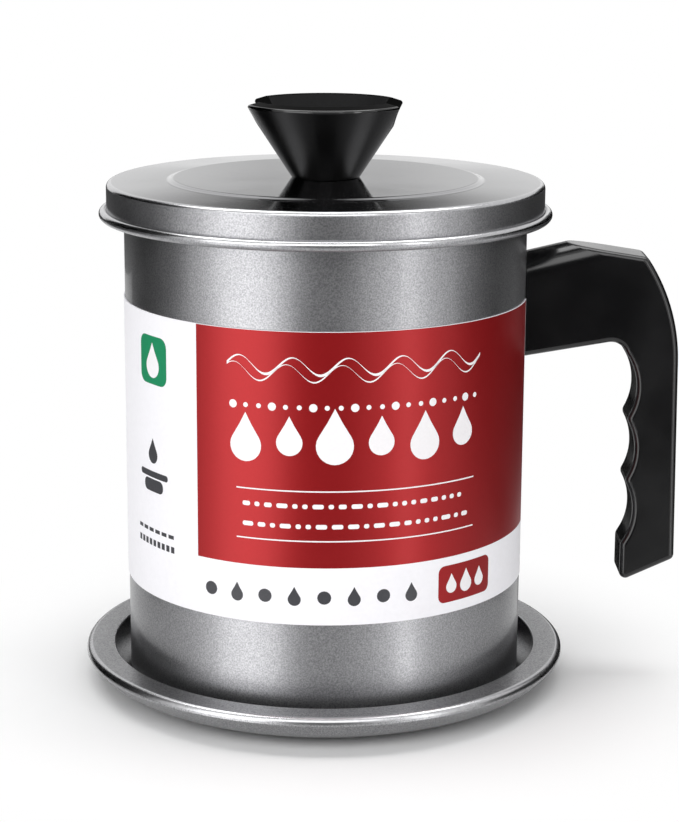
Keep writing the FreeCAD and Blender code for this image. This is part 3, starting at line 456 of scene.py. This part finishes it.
def ink(name, dark, light, mica=0.0):
    """Offset ink on glazed card: an even film, a little thinner in patches of 0.8 mm.

    mica, from 0 to 1, turns it into a satin metallic ink that shows the lamps as broad soft bands.
    """
    material, tree, out = new_material(name)
    place = add_node(tree, "ShaderNodeTexCoord")
    film = add_node(tree, "ShaderNodeTexNoise", {"Scale": 1000 / 0.8, "Detail": 2.0},
                    {"Vector": place.outputs["Object"]})
    colour = add_node(tree, "ShaderNodeMix", {"data_type": "RGBA", 6: paint(dark), 7: paint(light)},
                      {0: film.outputs["Fac"]})
    glaze = add_node(tree, "ShaderNodeBsdfPrincipled",
                     {"Roughness": 0.39, "Metallic": mica, "Specular IOR Level": 0.3,
                      "Coat Weight": 0.45 * mica, "Coat Roughness": 0.30},
                     {"Base Color": colour.outputs[2]})
    tree.links.new(glaze.outputs[0], out.inputs["Surface"])
    return material


def flat_print(name, corners, lift):
    """A flat printed shape from its corners in mm, cut into facets narrow enough to follow the round pot."""
    deselect_all()
    bpy.ops.mesh.primitive_circle_add(vertices=len(corners), radius=0.01)
    piece = bpy.context.object
    piece.name = name
    for vertex, (across, up) in zip(piece.data.vertices, corners):
        vertex.co = (across / 1000, up / 1000, lift / 1000)
    bpy.ops.object.mode_set(mode="EDIT")
    bpy.ops.mesh.select_all(action="SELECT")
    bpy.ops.mesh.edge_face_add()
    low = min(across for across, up in corners)
    high = max(across for across, up in corners)
    cut = math.ceil(low / PRINT_FACET) * PRINT_FACET
    while cut < high:
        bpy.ops.mesh.select_all(action="SELECT")
        bpy.ops.mesh.bisect(plane_co=(cut / 1000, 0, 0), plane_no=(1, 0, 0))
        cut += PRINT_FACET
    bpy.ops.object.mode_set(mode="OBJECT")
    if piece.data.polygons[0].normal.z < 0:
        bpy.ops.object.mode_set(mode="EDIT")
        bpy.ops.mesh.select_all(action="SELECT")
        bpy.ops.mesh.flip_normals()
        bpy.ops.object.mode_set(mode="OBJECT")
    return piece


def block(left, right, low, high, corner=0.0):
    """Corners of a printed block, rounded or square."""
    if not corner:
        return [(left, low), (right, low), (right, high), (left, high)]
    return (arc(right - corner, low + corner, corner, -90, 0, 5)
            + arc(right - corner, high - corner, corner, 0, 90, 5)
            + arc(left + corner, high - corner, corner, 90, 180, 5)
            + arc(left + corner, low + corner, corner, 180, 270, 5))


def disc(across, up, radius, steps=16):
    """Corners of a printed dot."""
    return arc(across, up, radius, 0, 360 - 360 / steps, steps - 1)


def drop(across, up, tall):
    """Corners of a printed oil drop: round below, drawn out to a point above."""
    radius = tall * 0.33
    neck = radius * 0.38
    neck_up = up + tall * 0.76
    belly = arc(across, up + radius, radius, 150, 390, 18)
    return belly + [(across + neck, neck_up), (across, up + tall), (across - neck, neck_up)]


def wave(left, right, middle, height, length, thick, phase=0.0):
    """Corners of a printed wavy line that swells and thins along its way."""
    steps = int((right - left) / WAVE_STEP)
    over, under = [], []
    for step in range(steps + 1):
        across = left + (right - left) * step / steps
        up = middle + height * math.sin((across - left) / length * 2 * math.pi + phase)
        swell = thick * (0.6 + 0.4 * math.cos((across - left) / length * 2 * math.pi + phase + 0.6))
        over.append((across, up + swell / 2))
        under.append((across, up - swell / 2))
    return under + over[::-1]


def print_all(name, shapes, lift, material):
    """Print shapes in one ink and bend them round the pot as one piece."""
    pieces = [flat_print(name, shape, lift) for shape in shapes]
    deselect_all()
    for piece in pieces:
        piece.select_set(True)
    bpy.context.view_layer.objects.active = pieces[0]
    if len(pieces) > 1:
        bpy.ops.object.join()
    joined = bpy.context.object
    joined.name = name
    wrap(joined)
    joined.data.materials.append(material)
    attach(joined, "pot")


# The sleeve is a circle without the part at the handle, drawn up to a wall and given the card's thickness.
deselect_all()
bpy.ops.mesh.primitive_circle_add(vertices=SLEEVE_FACETS, radius=SLEEVE_INNER / 1000, location=(0, 0, 0))
sleeve = bpy.context.object
sleeve.name = "card_sleeve"
bpy.ops.object.mode_set(mode="EDIT")
bpy.ops.mesh.select_all(action="DESELECT")
bpy.ops.object.mode_set(mode="OBJECT")
half_facet = 180 / SLEEVE_FACETS
for vertex in sleeve.data.vertices:
    vertex.select = abs(math.degrees(math.atan2(vertex.co.y, vertex.co.x))) < SLEEVE_OPEN - half_facet
bpy.ops.object.mode_set(mode="EDIT")
bpy.ops.mesh.delete(type="VERT")
bpy.ops.mesh.select_all(action="SELECT")
bpy.ops.transform.translate(value=(0, 0, SLEEVE_LOW / 1000))
bpy.ops.mesh.extrude_edges_move(TRANSFORM_OT_translate={"value": (0, 0, (SLEEVE_TOP - SLEEVE_LOW) / 1000)})
bpy.ops.object.mode_set(mode="OBJECT")
outward = sleeve.data.polygons[0].center.copy()
outward.z = 0
if sleeve.data.polygons[0].normal.dot(outward) < 0:
    bpy.ops.object.mode_set(mode="EDIT")
    bpy.ops.mesh.select_all(action="SELECT")
    bpy.ops.mesh.flip_normals()
    bpy.ops.object.mode_set(mode="OBJECT")
thicken = sleeve.modifiers.new("card", "SOLIDIFY")
thicken.thickness = (SLEEVE_OUTER - SLEEVE_INNER) / 1000
thicken.offset = 1.0
bpy.ops.object.modifier_apply(modifier=thicken.name)
smooth(sleeve)
sleeve.data.materials.append(card_stock("glazed_white_card"))
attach(sleeve, "pot")
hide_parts("label_sleeve")

red_ink = ink("satin_red_ink", "#960A0F", "#9E1016", 0.58)
white_ink = ink("bare_card_white", "#F1EEF0", "#F8F6F8")
green_ink = ink("offset_ink_green", "#168458", "#1E8E61")
grey_ink = ink("offset_ink_grey", "#3A3A3E", "#46464A")

# Prints are placed in mm: round the pot from the front towards the handle, and up from the table. DEGREE is
# one degree of that way round.
DEGREE = math.radians(1) * SLEEVE_OUTER
RED_LEFT = -36.9 * DEGREE
RED_RIGHT = 80.1 * DEGREE
RED_LOW = 54.2
RED_TOP = SLEEVE_TOP - 0.15
print_all("print_red_block", [block(RED_LEFT, RED_RIGHT, RED_LOW, RED_TOP)], FIRST_LIFT, red_ink)

# On the red block, from the top down: two waves, a row of dots, a row of drops, and two rows of dashes
# between two rules.
WAVE_SWING = 2.6
WAVE_LENGTH = 16.4
DOT_ROW = 103.2
DOT_PITCH = 4.1
DROP_ROW = 86
BIG_DROPS = ((-24, 15), (-10.5, 12), (3, 17), (17, 12), (31, 15), (45, 12))
RULE_THICK = 0.4
DASH_ROWS = (73.2, 67.0)
DASHES_FROM = -25.0
DASHES_TO = 46
DASH_WIDTHS = (1.6, 2.4, 3.4)
DASH_HALF = 0.7
DASH_ROUND = 0.6
DASH_GAP = 1.4
motifs = [wave(-30, 52, 115.5, WAVE_SWING, WAVE_LENGTH, thick=0.9)]
motifs += [wave(-30, 52, 113.4, WAVE_SWING, WAVE_LENGTH, thick=0.5, phase=0.7)]
motifs += [drop(across, DROP_ROW + step % 2 * 2.5, tall) for step, (across, tall) in enumerate(BIG_DROPS)]
motifs += [disc(-28 + DOT_PITCH * step, DOT_ROW, 0.75 if step % 3 else 1.25) for step in range(20)]
motifs += [block(-27, 50, low, low + RULE_THICK) for low in (77.6, 62.3)]
random.seed(7)
for row in DASH_ROWS:
    across = DASHES_FROM
    while across < DASHES_TO:
        width = random.choice(DASH_WIDTHS)
        motifs.append(block(across, across + width, row - DASH_HALF, row + DASH_HALF, DASH_ROUND))
        across += width + DASH_GAP
print_all("print_white_motifs", motifs, SECOND_LIFT, white_ink)

badge_drops = [drop(41.5, 42.6, 6.2), drop(47.5, 42.0, 7.4), drop(53.5, 42.6, 6.2)]
print_all("print_red_badge", [block(36.5, 58.5, 39.8, 51.5, 2.2)], FIRST_LIFT, red_ink)
print_all("print_badge_drops", badge_drops, SECOND_LIFT, white_ink)

# A row below the red block: dots and drops in turn.
ROW_PITCH = 9.0
row_marks = [drop(-36 + ROW_PITCH * step, 42.3, 6.0) if step % 2 else disc(-36 + ROW_PITCH * step, 45.0, 2.1)
             for step in range(8)]
print_all("print_grey_row", row_marks, FIRST_LIFT, grey_ink)

# Left of the red block: a green mark, a bowl under a drop, and two rows of dashes.
print_all("print_green_mark", [block(-69, -54, 104, 119, 3.0)], FIRST_LIFT, green_ink)
print_all("print_green_drop", [drop(-61.5, 106, 11)], SECOND_LIFT, white_ink)
LONG_PITCH = 3.6
SHORT_PITCH = 2.4
left_rows = [block(-72 + LONG_PITCH * step, -69.4 + LONG_PITCH * step, 57.0, 58.2) for step in range(6)]
left_rows += [block(-72 + SHORT_PITCH * step, -70.4 + SHORT_PITCH * step, 52.6, 54.6) for step in range(9)]
print_all("print_grey_rows", left_rows, FIRST_LIFT, grey_ink)
bowl = [block(-70, -54, 74.5, 76.5, 0.9), block(-67.5, -56.5, 70, 74.0, 1.8), drop(-62, 79, 8)]
print_all("print_grey_bowl", bowl, FIRST_LIFT, grey_ink)


# ------------------------------------------------------------------ handle bracket and weld nut
# A saddle plate and tongue bent from bare steel and welded to the pot, with a square nut welded on the
# tongue. Both sit inside the handle's root and hold it.

MARK_LENGTH = 12
MARK_COARSENESS = 4


def bare_steel(name, tone, roughness, grain):
    """Rolled steel, left bare: a soft metal gloss with fine rolling marks, grain in mm.

    The marks lie level and are MARK_LENGTH times as long as they are high. They are drawn MARK_COARSENESS
    times as coarse as the grain, so that they show.
    """
    material, tree, out = new_material(name)
    place = add_node(tree, "ShaderNodeTexCoord")
    stretch = add_node(tree, "ShaderNodeMapping", {"Scale": (1, 1, MARK_LENGTH)},
                       {"Vector": place.outputs["Object"]})
    marks = add_node(tree, "ShaderNodeTexNoise", {"Scale": 1000 / grain / MARK_COARSENESS, "Detail": 3.0},
                     {"Vector": stretch.outputs[0]})
    rough = add_node(tree, "ShaderNodeMapRange", {"To Min": roughness - 0.06, "To Max": roughness + 0.06},
                     {"Value": marks.outputs["Fac"]})
    bump = add_node(tree, "ShaderNodeBump", {"Strength": 0.1, "Distance": 0.00005},
                    {"Height": marks.outputs["Fac"]})
    metal = add_node(tree, "ShaderNodeBsdfPrincipled", {"Base Color": paint(tone), "Metallic": 1.0},
                     {"Roughness": rough.outputs[0], "Normal": bump.outputs[0]})
    tree.links.new(metal.outputs[0], out.inputs["Surface"])
    return material


def dress(node, material):
    """Give a carried-over node its material."""
    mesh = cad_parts[node].data
    mesh.materials.clear()
    mesh.materials.append(material)


bracket_steel = bare_steel("rolled_steel_bracket", "#B4B4B2", 0.42, 0.6)
dress("handle_bracket", bracket_steel)
dress("handle_weld_nut", bracket_steel)


# ------------------------------------------------------------------ handle
# A side handle moulded in black phenolic, with a rounded root, a flat thumb rest and three finger
# scallops. It slides over the bracket and is held by one screw from below.

def black_moulding(name, tone, light, roughness, gloss):
    """Hot-moulded phenolic: black, hard and even, with a fine skin from the mould.

    The skin is drawn 0.7 mm coarse, so that it shows. Flow marks of 18 mm make the gloss a little uneven.
    """
    material, tree, out = new_material(name)
    place = add_node(tree, "ShaderNodeTexCoord")
    skin = add_node(tree, "ShaderNodeTexNoise", {"Scale": 1000 / 0.7, "Detail": 2.0},
                    {"Vector": place.outputs["Object"]})
    flow = add_node(tree, "ShaderNodeTexNoise", {"Scale": 1000 / 18.0, "Detail": 2.0},
                    {"Vector": place.outputs["Object"]})
    rough = add_node(tree, "ShaderNodeMapRange",
                     {"From Min": 0.3, "From Max": 0.7,
                      "To Min": roughness - 0.04, "To Max": roughness + 0.04},
                     {"Value": flow.outputs["Fac"]})
    bump = add_node(tree, "ShaderNodeBump", {"Strength": 0.08, "Distance": 0.00006},
                    {"Height": skin.outputs["Fac"]})
    colour = add_node(tree, "ShaderNodeMix", {"data_type": "RGBA", 6: paint(tone), 7: paint(light)},
                      {0: skin.outputs["Fac"]})
    resin = add_node(tree, "ShaderNodeBsdfPrincipled", {"IOR": 1.45, "Specular IOR Level": gloss},
                     {"Base Color": colour.outputs[2], "Roughness": rough.outputs[0],
                      "Normal": bump.outputs[0]})
    tree.links.new(resin.outputs[0], out.inputs["Surface"])
    return material


dress("handle_grip", black_moulding("moulded_phenolic_handle", "#0B0B0C", "#101011", 0.20, 0.6))


# ------------------------------------------------------------------ handle screw and washer
# A zinc-plated pan-head screw and its washer, sunk in the underside of the handle's root. The plating is
# bright and a little uneven.

zinc = bare_steel("bright_zinc_plating", "#C6C8CA", 0.22, 0.5)
dress("handle_washer", zinc)
dress("handle_screw", zinc)


# ------------------------------------------------------------------ strainer
# A stainless cup that hangs in the pot's mouth by its flange. Its wall is drawn from thin sheet, its floor
# is a shallow funnel welded under the wall, and a ring holds a woven mesh on the floor's ledge.

CUP_SHEET = 0.6
CUP_INSIDE = 61.0
CUP_LOW = 138.0
CUP_MIDDLE = 150.0
FLANGE_RADIUS = 66.7
FLANGE_TOP = 160.6
FLANGE_LOW = 156.6
FLANGE_BEND = 1.0

cup_outside = CUP_INSIDE + CUP_SHEET
flange_inside = FLANGE_RADIUS - CUP_SHEET
flange_under = FLANGE_TOP - CUP_SHEET
cup_outline = [(flange_inside, FLANGE_LOW), (FLANGE_RADIUS, FLANGE_LOW)]
cup_outline += bend((FLANGE_RADIUS, FLANGE_LOW), (FLANGE_RADIUS, FLANGE_TOP), (CUP_INSIDE, FLANGE_TOP),
                    FLANGE_BEND, 6)
cup_outline += bend((FLANGE_RADIUS, FLANGE_TOP), (CUP_INSIDE, FLANGE_TOP), (CUP_INSIDE, CUP_LOW),
                    FLANGE_BEND, 6)
cup_outline += [(CUP_INSIDE, CUP_MIDDLE), (CUP_INSIDE, CUP_LOW), (cup_outside, CUP_LOW)]
cup_outline += [(cup_outside, CUP_MIDDLE)]
cup_outline += bend((cup_outside, CUP_LOW), (cup_outside, flange_under), (flange_inside, flange_under),
                    FLANGE_BEND - CUP_SHEET, 4)
cup_outline += bend((cup_outside, flange_under), (flange_inside, flange_under), (flange_inside, FLANGE_LOW),
                    FLANGE_BEND - CUP_SHEET, 4)
cup = turned("strainer_wall", cup_outline, closed=True)
smooth(cup)
strainer_steel = bare_steel("satin_stainless_sheet", "#C2C2C0", 0.3, 0.4)
cup.data.materials.append(strainer_steel)
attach(cup, "strainer")
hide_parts("strainer_cup")
dress("strainer_floor", strainer_steel)
dress("strainer_ring", strainer_steel)

MESH_RADIUS = 45.2
MESH_MIDDLE = 133.3
WIRE_PITCH = 2.0
WIRE_RADIUS = 0.17
WIRE_SWING = 0.13
WIRE_STEP = WIRE_PITCH / 4


def weave_wire(name, along_x, offset, lifted):
    """One wire of the mesh, bent up and down over its neighbours, cut to the disc."""
    half = math.sqrt(MESH_RADIUS ** 2 - offset ** 2)
    steps = int(half / WIRE_STEP)
    deselect_all()
    bpy.ops.mesh.primitive_circle_add(vertices=4, radius=WIRE_RADIUS / 1000,
                                      rotation=(math.radians(90), 0, 0))
    wire = bpy.context.object
    wire.name = name
    bpy.ops.object.transform_apply(location=False, rotation=True, scale=False)
    bpy.ops.object.mode_set(mode="EDIT")
    bpy.ops.mesh.select_all(action="SELECT")
    places = [(step * WIRE_STEP, WIRE_SWING * lifted * math.cos(math.pi * step / 4))
              for step in range(-steps, steps + 1)]
    along, height = places[0]
    bpy.ops.transform.translate(value=(offset / 1000, along / 1000, (MESH_MIDDLE + height) / 1000))
    for next_along, next_height in places[1:]:
        step_move = (0, (next_along - along) / 1000, (next_height - height) / 1000)
        bpy.ops.mesh.extrude_edges_move(TRANSFORM_OT_translate={"value": step_move})
        along, height = next_along, next_height
    bpy.ops.object.mode_set(mode="OBJECT")
    if along_x:
        wire.rotation_euler = (0, 0, math.radians(90))
        bpy.ops.object.transform_apply(location=False, rotation=True, scale=False)
    return wire


wires = []
outermost = int(MESH_RADIUS / WIRE_PITCH)
for number in range(-outermost, outermost + 1):
    for along_x in (False, True):
        lifted = (1 if number % 2 else -1) * (-1 if along_x else 1)
        wires.append(weave_wire("wire", along_x, number * WIRE_PITCH, lifted))
deselect_all()
for wire in wires:
    wire.select_set(True)
bpy.context.view_layer.objects.active = wires[0]
bpy.ops.object.join()
mesh_disc = bpy.context.object
mesh_disc.name = "woven_mesh"
smooth(mesh_disc, 80)
mesh_disc.data.materials.append(bare_steel("drawn_stainless_wire", "#BDBDBA", 0.3, 0.3))
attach(mesh_disc, "strainer")
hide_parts("strainer_mesh")


# ------------------------------------------------------------------ lid
# A lid pressed from sheet steel: a raised flat disc, a ring round it, a short skirt and an edge rolled
# outwards. It is coated like the pot but polished on top, so the knob mirrors in it.

LID_SHEET = 0.8
LID_TOP = 162.7
LID_RADIUS = 68.7
LID_BEAD = 1.6
LID_BEAD_HEIGHT = 151.9
SCREW_HOLE = 2.55
DISC_EDGE = (48, LID_TOP)
STEP_FOOT = (49.3, 162.0)
SHOULDER = (LID_RADIUS, 161.7)
DISC_BEND = 2.2
STEP_BEND = 3.6
SHOULDER_BEND = 1.7
INNER_SHOULDER_BEND = 0.9

# RING_MARK and SKIRT_MARK only point the bends out along the ring and down the skirt.
RING_MARK = (66, 161.75)
SKIRT_MARK = 152

lid_inside = LID_RADIUS - LID_SHEET
disc_under = LID_TOP - LID_SHEET
ring_under = (49.4, 161.2)
lid_outline = [(SCREW_HOLE, LID_TOP), (20, LID_TOP), (40, LID_TOP), (47.2, LID_TOP)]
lid_outline += bend((40, LID_TOP), DISC_EDGE, STEP_FOOT, DISC_BEND, 6)
lid_outline += bend(DISC_EDGE, STEP_FOOT, RING_MARK, STEP_BEND, 8)
lid_outline += bend(STEP_FOOT, SHOULDER, (LID_RADIUS, SKIRT_MARK), SHOULDER_BEND, 8)
lid_outline += [(LID_RADIUS, 154), (LID_RADIUS, 153.28)]
lid_outline += arc(lid_inside + LID_BEAD, LID_BEAD_HEIGHT, LID_BEAD, 120, -180, 30)
lid_outline += [(lid_inside, 155)]
lid_outline += bend((lid_inside, SKIRT_MARK), (lid_inside, 160.9), ring_under, INNER_SHOULDER_BEND, 6)
lid_outline += [ring_under, (48.2, disc_under), (20, disc_under), (SCREW_HOLE, disc_under)]
lid = turned("lid_pressing", lid_outline, closed=True)
smooth(lid)

# The top is polished and mirrors sharply; on the shoulder and the bead the coating has flowed smooth and
# shows as sharper lines, and there it also gets a lighter grey, a painted highlight that brightens them.
POLISHED_WITHIN = 67.0
POLISHED_ABOVE = 161.5
SHOULDER_ABOVE = 160.7
BEAD_FROM = 68.8
BEAD_ABOVE = 152.1
POLISHED, FLOWED_PAINTED_HIGHLIGHT = 1, 2
lid.data.materials.append(flake_coating("baked_flake_coating_lid", "#828285", "#A6A6A8", 0.37, 0.25))
lid.data.materials.append(
    flake_coating("polished_coating_lid", "#9C9C9E", "#A4A4A6", 0.08, 0.1, metal=1.0))
lid.data.materials.append(
    flake_coating("flowed_coating_lid_edge_painted_highlight", "#AEAEB0", "#B6B6B8", 0.20, 0.25, metal=1.0, grit=1.3))
for face in lid.data.polygons:
    reach, height = place_of(face)
    on_top = reach < POLISHED_WITHIN and height > POLISHED_ABOVE and face.normal.z > 0.5
    on_shoulder = reach >= POLISHED_WITHIN and height > SHOULDER_ABOVE
    on_bead = reach > BEAD_FROM and height > BEAD_ABOVE
    if on_top:
        face.material_index = POLISHED
    elif on_shoulder or on_bead:
        face.material_index = FLOWED_PAINTED_HIGHLIGHT
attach(lid, "lid")
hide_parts("lid_shell")


# ------------------------------------------------------------------ knob
# A knob moulded in black phenolic: a hollow cone whose rim is notched on two sides for the fingers. A
# brass insert in its foot takes the zinc-plated screw that comes up through the lid.

KNOB_FOOT = LID_TOP
KNOB_WAIST = 10.85
KNOB_CHAMFER = 0.35
KNOB_RIM = (25.6, 185.6)
KNOB_RIM_BEND = 0.7
KNOB_TOP = 186.9
KNOB_LIP = (21.8, KNOB_TOP)
KNOB_LIP_BEND = 0.8
KNOB_BOWL = (14.0, 175.1)
KNOB_BOWL_BEND = 1.0
KNOB_BOWL_LOW = 173.3
KNOB_TURN = -5.0
INSERT_RADIUS = 3.65
INSERT_TOP = 170.75
NOTCH_RADIUS = 10.2
NOTCH_DEPTH = 8.1

knob_outline = [(INSERT_RADIUS, KNOB_FOOT), (KNOB_WAIST - KNOB_CHAMFER, KNOB_FOOT)]
knob_outline += [(KNOB_WAIST, KNOB_FOOT + KNOB_CHAMFER)]
knob_outline += bend((KNOB_WAIST, KNOB_FOOT), KNOB_RIM, KNOB_LIP, KNOB_RIM_BEND, 8)
knob_outline += bend(KNOB_RIM, KNOB_LIP, KNOB_BOWL, KNOB_LIP_BEND, 10)
knob_outline += bend(KNOB_LIP, KNOB_BOWL, (0, KNOB_BOWL_LOW), KNOB_BOWL_BEND, 4)
knob_outline += [(0, KNOB_BOWL_LOW), (0, INSERT_TOP), (INSERT_RADIUS, INSERT_TOP)]
knob = turned("knob_moulding", knob_outline, closed=True)

# A round bar laid across the rim cuts both notches.
notch_axis = KNOB_TOP - NOTCH_DEPTH + NOTCH_RADIUS
deselect_all()
bpy.ops.mesh.primitive_cylinder_add(vertices=128, radius=NOTCH_RADIUS / 1000, depth=0.08,
                                    location=(0, 0, notch_axis / 1000), rotation=(0, math.radians(90), 0))
cutter = bpy.context.object
cut = knob.modifiers.new("notch", "BOOLEAN")
cut.operation = "DIFFERENCE"
cut.solver = "EXACT"
cut.object = cutter
deselect_all()
knob.select_set(True)
bpy.context.view_layer.objects.active = knob
bpy.ops.object.modifier_apply(modifier=cut.name)
bpy.data.objects.remove(cutter)
bpy.ops.object.mode_set(mode="EDIT")
bpy.ops.mesh.select_all(action="SELECT")
bpy.ops.mesh.remove_doubles(threshold=0.00001)
bpy.ops.object.mode_set(mode="OBJECT")
knob.rotation_euler = (0, 0, math.radians(KNOB_TURN))
bpy.ops.object.transform_apply(location=False, rotation=True, scale=False)
smooth(knob)

# The cone is semi-gloss, the bowl matt with a fine grain, the rim polished so that it draws a thin light
# line, and the cut faces of the notches dull.
BOWL, RIM, NOTCH = 1, 2, 3
INSIDE_ABOVE = 172.5
INSIDE_WITHIN = 24.6
BOWL_WITHIN = 21.4
BOWL_BELOW = 176.0
RIM_ABOVE = 184.6
knob.data.materials.append(black_moulding("moulded_phenolic_knob", "#020202", "#040404", 0.24, 0.28))
knob.data.materials.append(black_moulding("matt_phenolic_knob_bowl", "#090909", "#181819", 0.60, 0.10))
knob.data.materials.append(black_moulding("polished_phenolic_knob_rim", "#020202", "#030303", 0.10, 0.7))
knob.data.materials.append(black_moulding("dull_phenolic_knob_notches", "#010101", "#020202", 0.60, 0.05))
for face in knob.data.polygons:
    reach, height = place_of(face)
    inside = height > INSIDE_ABOVE and reach < INSIDE_WITHIN and face.normal.z > 0.15
    on_bowl_wall = reach < BOWL_WITHIN and 0.4 < face.normal.z < 0.7
    if inside:
        face.material_index = BOWL if on_bowl_wall or height < BOWL_BELOW else NOTCH
    elif height > RIM_ABOVE:
        face.material_index = RIM
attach(knob, "lid")
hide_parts("lid_knob")

dress("knob_insert", bare_steel("turned_brass", "#C9A14A", 0.3, 0.3))
dress("knob_washer", zinc)
dress("knob_screw", zinc)
